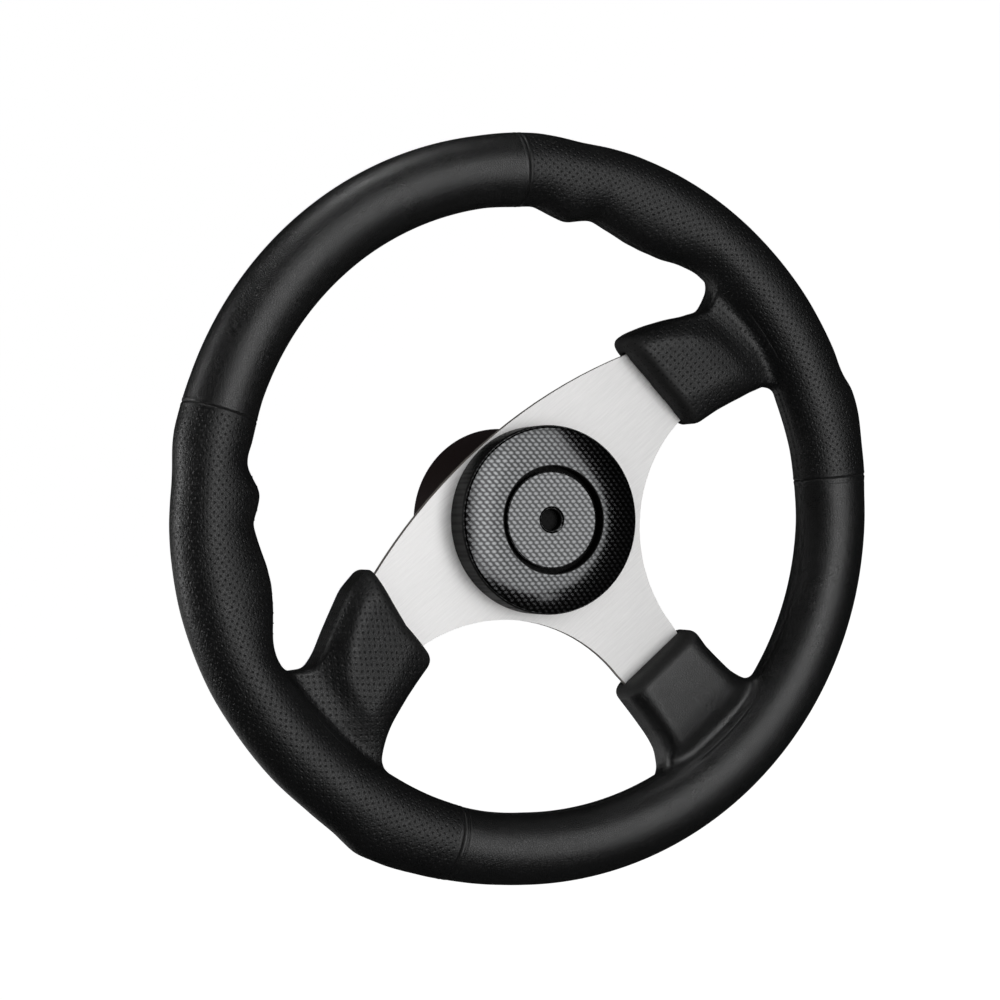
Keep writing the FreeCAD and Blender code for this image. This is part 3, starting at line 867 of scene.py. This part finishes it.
def woven_gloss(name, dark, light, hole_r):
    """Gloss dot weave: rows of slanted dots, every other row half a dot on.

    The weave is on what faces the front, outside hole_r; the walls and the hole are plain black.
    """
    made, tree, shader = material(name)
    place = object_mm(tree)
    apart = add_node(tree, "ShaderNodeSeparateXYZ", Vector=place)
    x, z = apart.outputs[0], apart.outputs[2]
    c, s = cos(radians(WEAVE_TURN)), sin(radians(WEAVE_TURN))

    def turned(a, b):
        return maths(tree, "ADD", product(tree, x, a), product(tree, z, b))

    along, across = turned(c, s), turned(-s, c)
    row = maths(tree, "FLOOR", maths(tree, "DIVIDE", across, WEAVE_ROW))
    odd = maths(tree, "PINGPONG", row, 1.0)
    shift = product(tree, odd, WEAVE_DOT / 2)
    du, dv = lattice_distance(tree, maths(tree, "ADD", along, shift), across, WEAVE_DOT, WEAVE_ROW)
    slant = maths(tree, "MULTIPLY_ADD", du, maths(tree, "MULTIPLY_ADD", odd, 0.4, 0.05), dv)
    size = length(tree, maths(tree, "DIVIDE", du, DOT_HALF_LENGTH),
                  maths(tree, "DIVIDE", slant, DOT_HALF_WIDTH))
    dot = spread(tree, size, 1.15, 0.25, smooth=True)
    face = product(tree, spread(tree, depth_normal(tree), -0.55, -0.8, smooth=True),
                   spread(tree, length(tree, x, z), hole_r, hole_r + 0.4, smooth=True))
    fibre = noise(tree, place, 4.0, 2.0)
    colour = mixed(tree, dot, grey(dark, -0.02), grey(light, -0.02))
    colour = mixed(tree, product(tree, fibre, 0.3), colour, grey(dark))
    colour = mixed(tree, face, grey(0.004), colour)
    rough = maths(tree, "ADD", spread(tree, face, 0, 1, 0.45, 0.11), product(tree, dot, 0.12))
    link(tree, shader, Base_Color=colour, Roughness=rough, Metallic=face,
         Specular_IOR_Level=0.12, Normal=bump(tree, product(tree, dot, face), 0.006, 0.4))
    return made


# Leather covers and the inner stitches
plain_leather = leather("leather_plain", 0.3, 0.9)
punched_leather = leather("leather_punched", 0.31, 0.66, punched=True)

upper_left, upper_right, lower_right, lower_left = [seam[0] for seam in SEAMS.values()]
covers = [
    grip("rim_top_leather", rim_field, (-110, -75, 112), (110, -35, 185),
         [(upper_left, 1), (upper_right, -1)]),
    grip("right_grip_leather", side_field, (80, -75, -102), (180, -35, 154),
         [(upper_right, 1), (lower_right, -1)], "side", RIGHT_PAD_WAVES),
    grip("left_grip_leather", side_field, (-180, -75, -102), (-80, -35, 154),
         [(lower_left, 1), (upper_left, -1)], "side", LEFT_PAD_WAVES),
    grip("rim_bottom_leather", bottom_field, (-148, -75, -172), (148, -35, -66),
         [(lower_right, 1), (lower_left, -1)], "bottom"),
]
for cover, node in zip(covers, ["grip_top", "grip_right", "grip_left", "grip_bottom"]):
    punched = "grip_leather" in cover.name
    cover.data.materials.append(punched_leather if punched else plain_leather)
    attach(cover, "wheel")
    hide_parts(node)

thread = stitching("inner_stitches")
thread.data.materials.append(moulded("thread_waxed", 0.035, 0.5))
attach(thread, "wheel")

# Carried-over nodes
for nodes, made in (
    (["spoke_plate"], brushed_metal("plate_brushed", 0.88, (0.07, 1.2, 1.2), 0.006)),
    (["rim_core", "weld_left", "weld_right", "weld_bottom"], plain_metal("core_bar", 0.6, 0.35)),
    (["hub_adapter"], cast_metal("hub_coated", 0.006, 1.9, 0.42)),
    (["cap_retainer"], moulded("retainer_moulded", 0.02, 0.5)),
    (["cap_seal"], moulded("seal_rubber", 0.012, 0.65)),
    (["cap_shell"], woven_gloss("cap_weave", 0.055, 0.3, 25.3)),
    (["cap_disc"], woven_gloss("disc_weave", 0.07, 0.34, 5.2)),
    (["hub_screw_%d" % i for i in range(1, 7)], plain_metal("screw_plain", 0.55, 0.3)),
):
    for node in nodes:
        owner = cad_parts[node]
        for place in owner.material_slots:
            place.material = made
        if not owner.material_slots:
            owner.data.materials.append(made)

# Camera and light, in metres. Directions are seen from the camera: degrees to its right of the line
# from the wheel to the camera, and degrees up.
CAMERA = Vector((-0.35989, -1.11981, 0.29484))
SIDEWAYS = Vector((0.7050, -0.3843, -0.5961))
UPWARDS = Vector((0.6414, -0.0131, 0.7671))
AHEAD = Vector((0.3026, 0.9231, -0.2372))
AIM = Vector((0, -0.055, 0.007))
LENS = 89.456
LAMP_DISTANCE = 1.6

# Floor: its height, half its width and its thickness. Flags: half their width, also their top, and
# their height over the floor.
FLOOR_Z = -0.95
FLOOR_HALF = 20
FLOOR_THICKNESS = 0.05
FLAGS_HALF = 2.6
FLAGS_GAP = 0.02

camera_data = bpy.data.cameras.new("camera")
camera_data.lens = LENS
camera_data.sensor_width = 36
camera = bpy.data.objects.new("camera", camera_data)
bpy.context.scene.collection.objects.link(camera)
axes = Matrix((SIDEWAYS, UPWARDS, -AHEAD)).transposed().to_4x4()
camera.matrix_world = Matrix.Translation(CAMERA) @ axes
bpy.context.scene.camera = camera


def from_camera(turn, rise):
    """Direction from the wheel."""
    a, e = radians(turn), radians(rise)
    return SIDEWAYS * sin(a) * cos(e) + UPWARDS * sin(e) - AHEAD * cos(a) * cos(e)


def facing(direction, distance):
    """Matrix of a flat thing that looks back at the wheel from that direction, upright in the picture."""
    back = direction.normalized()
    side = UPWARDS.cross(back).normalized()
    turn = Matrix((side, back.cross(side), back)).transposed().to_4x4()
    return Matrix.Translation(AIM + back * distance) @ turn


def softbox(name, turn, rise, width, height, radiance):
    data = bpy.data.lights.new(name, "AREA")
    data.shape = "RECTANGLE"
    data.size, data.size_y = width, height
    data.energy = radiance * pi * width * height
    lamp = bpy.data.objects.new(name, data)
    lamp.matrix_world = facing(from_camera(turn, rise), LAMP_DISTANCE)
    lamp.visible_camera = False
    bpy.context.scene.collection.objects.link(lamp)


for name, turn, rise, width, height, radiance in (
    ("key_softbox", 31, 8, 1.36, 2.0, 1.45),
    ("key_foot", 49.5, -29, 0.3, 0.4, 1.45),
    ("top_softbox", -72, 76, 0.6, 0.6, 3.6),
    ("key_left", 22, 6, 0.45, 1.2, 0.5),
    ("left_softbox", -86, 28, 0.5, 0.5, 1.6),
    ("low_left_softbox", -94, -3, 0.42, 1.0, 4.2),
    ("back_softbox", -142, -22, 0.9, 0.9, 0.35),
):
    softbox(name, turn, rise, width, height, radiance)


def stage_box(name, low, high, made):
    mesh = bpy.data.meshes.new(name)
    corners = [(x, y, z) for x in (low[0], high[0]) for y in (low[1], high[1]) for z in (low[2], high[2])]
    faces = [(0, 1, 3, 2), (4, 6, 7, 5), (0, 4, 5, 1), (2, 3, 7, 6), (0, 2, 6, 4), (1, 5, 7, 3)]
    mesh.from_pydata(corners, [], faces)
    mesh.materials.append(made)
    box = shown(name, mesh)
    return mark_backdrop(box) or box


def seen_rays(tree):
    """1 for rays that show a thing directly, in a gloss or through glass."""
    rays = tree.nodes.new("ShaderNodeLightPath").outputs
    direct = maths(tree, "ADD", rays["Is Camera Ray"], rays["Is Glossy Ray"])
    return maths(tree, "ADD", direct, rays["Is Transmission Ray"], clamp=True)


made, tree, shader = material("studio_flags")
link(tree, shader, Base_Color=grey(0.02), Roughness=1.0, Specular_IOR_Level=0.0)
flags = stage_box("studio_flags", (-FLAGS_HALF, -FLAGS_HALF, FLOOR_Z + FLAGS_GAP),
                  (FLAGS_HALF, FLAGS_HALF, FLAGS_HALF), made)
flags.visible_camera = flags.visible_diffuse = flags.visible_shadow = flags.visible_transmission = False

made, tree, shader = material("floor_white")
link(tree, shader, Base_Color=grey(0.8), Roughness=0.9, Specular_IOR_Level=0.0, Emission_Color=grey(1.0),
     Emission_Strength=product(tree, seen_rays(tree), 0.6))
stage_box("floor", (-FLOOR_HALF, -FLOOR_HALF, FLOOR_Z - FLOOR_THICKNESS), (FLOOR_HALF, FLOOR_HALF, FLOOR_Z),
          made)

world = bpy.data.worlds.new("world")
bpy.context.scene.world = world
world.use_nodes = True
tree = world.node_tree
strength = spread(tree, seen_rays(tree), 0, 1, 0.5, 1.0)
link(tree, tree.nodes["Background"], Color=grey(1.0), Strength=strength)

bpy.context.scene.view_settings.view_transform = "Standard"
